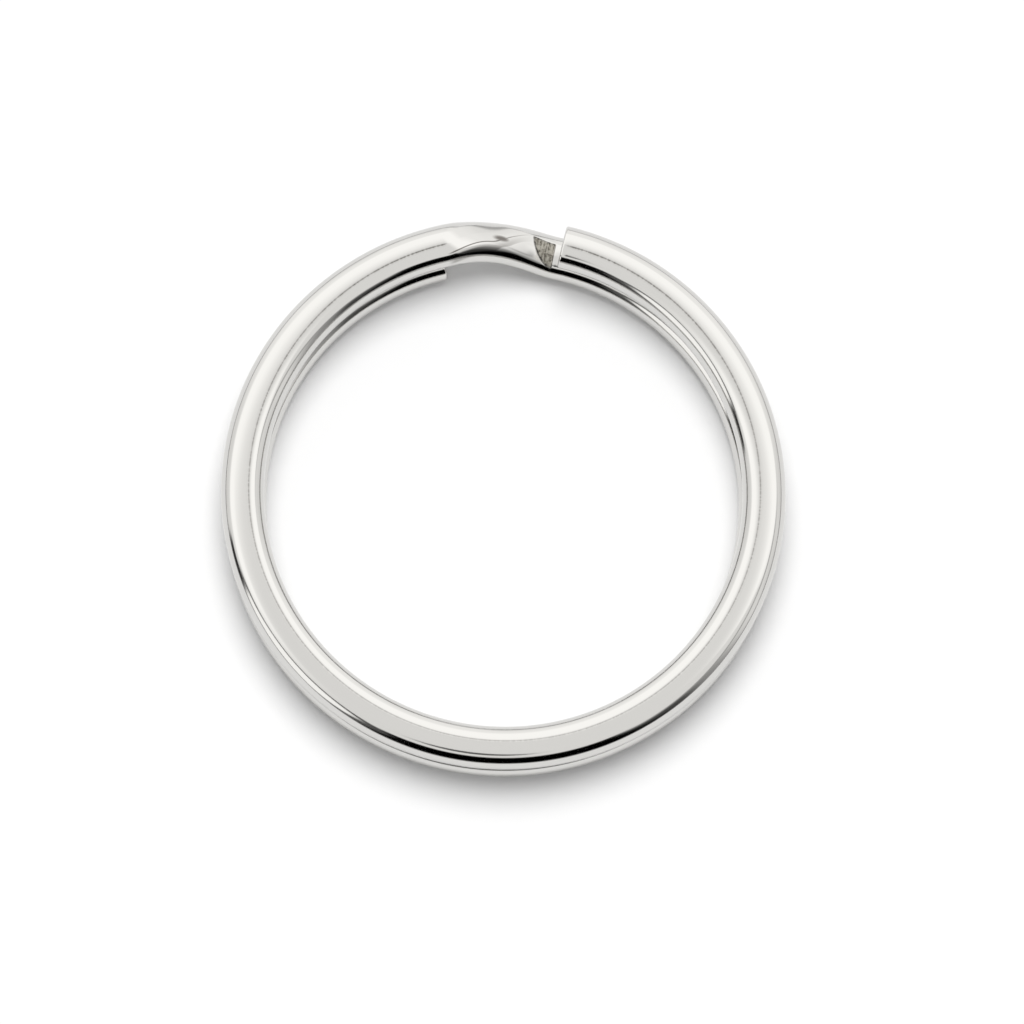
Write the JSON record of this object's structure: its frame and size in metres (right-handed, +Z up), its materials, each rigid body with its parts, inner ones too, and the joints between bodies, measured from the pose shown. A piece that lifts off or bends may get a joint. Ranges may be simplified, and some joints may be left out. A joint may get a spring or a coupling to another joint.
{
  "type": "split key ring",
  "caption": "Round split key ring of flattened spring wire, coiled into two flat turns joined by a stepped crossover.",
  "frame": {"origin": "centre of the ring, on the surface it lies on", "axes": "+Z up out of that surface, along the ring's axis; +Y from the centre towards the crossover"},
  "size_m": [0.03, 0.03, 0.0034],
  "materials": {
    "nickel": "bright nickel plate on spring steel, lightly tumbled"
  },
  "bodies": {
    "root": {"split_ring": "nickel"}
  },
  "joints": []
}
